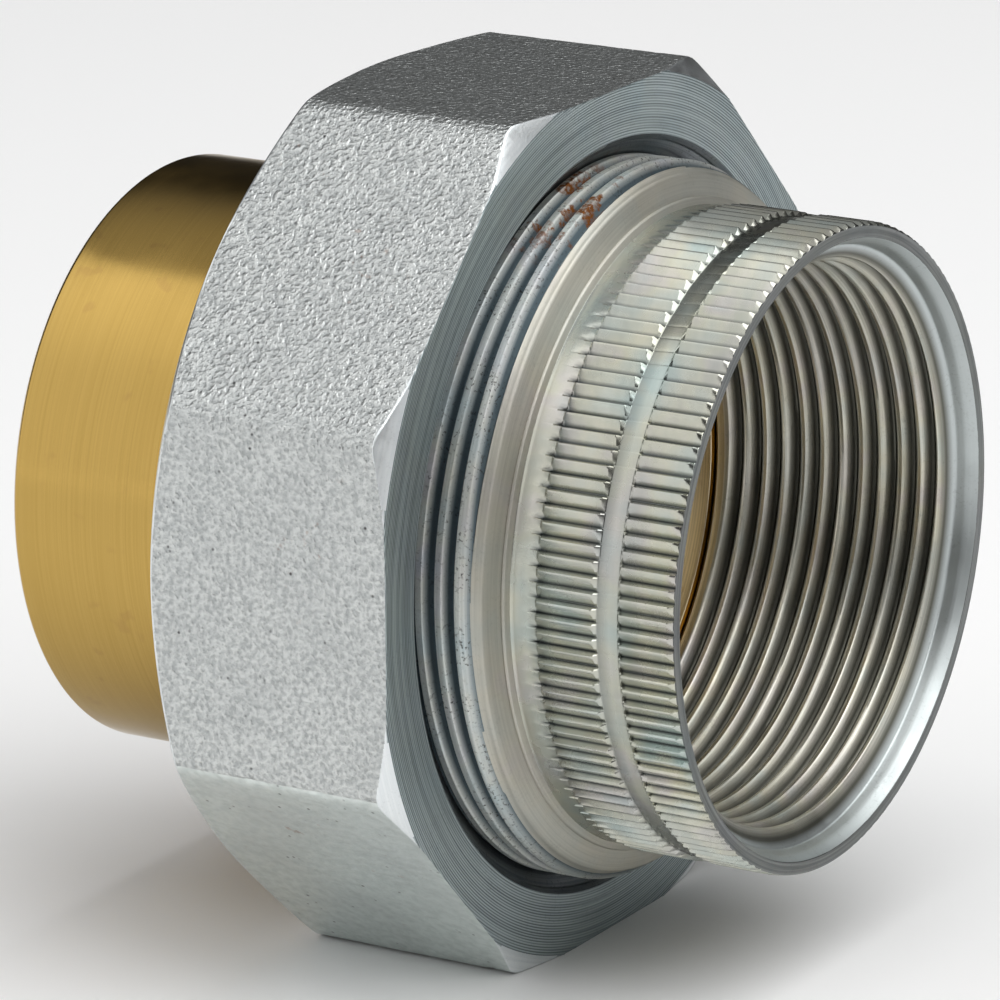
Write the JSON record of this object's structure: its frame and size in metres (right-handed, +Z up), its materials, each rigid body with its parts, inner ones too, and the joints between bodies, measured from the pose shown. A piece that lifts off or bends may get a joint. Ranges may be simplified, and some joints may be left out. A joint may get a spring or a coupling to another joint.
{
  "type": "pipe union",
  "caption": "Dielectric pipe union: an octagon nut joins a steel body with a tapered female pipe thread to a brass solder-cup tail, insulated by a sleeve and gasket.",
  "frame": {"origin": "middle of the closed union's bounding box, on the axis of the waterway", "axes": "+X along the waterway towards the threaded steel port, -X towards the brass solder cup, +Z up, square to an upper flat of the octagon nut; the opposite flat faces down and the part rests on it"},
  "size_m": [0.0774, 0.0874, 0.0874],
  "materials": {
    "zinc_steel_body": "zinc-plated turned steel with a faint yellow and blue-green chromate tint",
    "zinc_steel_nut": "zinc-plated forged steel, pebbled flats and finely turned faces",
    "brass": "satin turned brass",
    "sleeve_plastic": "moulded off-white plastic",
    "gasket_rubber": "black moulded rubber"
  },
  "bodies": {
    "female_half": {"steel_body": "zinc_steel_body", "gasket": "gasket_rubber"},
    "sleeve": {"insulating_sleeve": "sleeve_plastic"},
    "nut": {"union_nut": "zinc_steel_nut"},
    "tail": {"solder_tail": "brass"}
  },
  "joints": [
    {"name": "nut_travel", "type": "slide", "parent": "female_half", "child": "sleeve", "axis": [-1, 0, 0], "range_m": [0, 0.00994]},
    {"name": "nut_turn", "type": "hinge", "parent": "sleeve", "child": "nut", "pos_m": [0.0001, 0, 0], "axis": [-1, 0, 0], "range_deg": [0, 1620]},
    {"name": "tail_swivel", "type": "hinge", "parent": "sleeve", "child": "tail", "pos_m": [-0.02, 0, 0], "axis": [-1, 0, 0], "continuous": true}
  ],
  "couplings": [
    {"joint": "nut_travel", "follows": "nut_turn", "m_per_rad": 0.00035153}
  ]
}
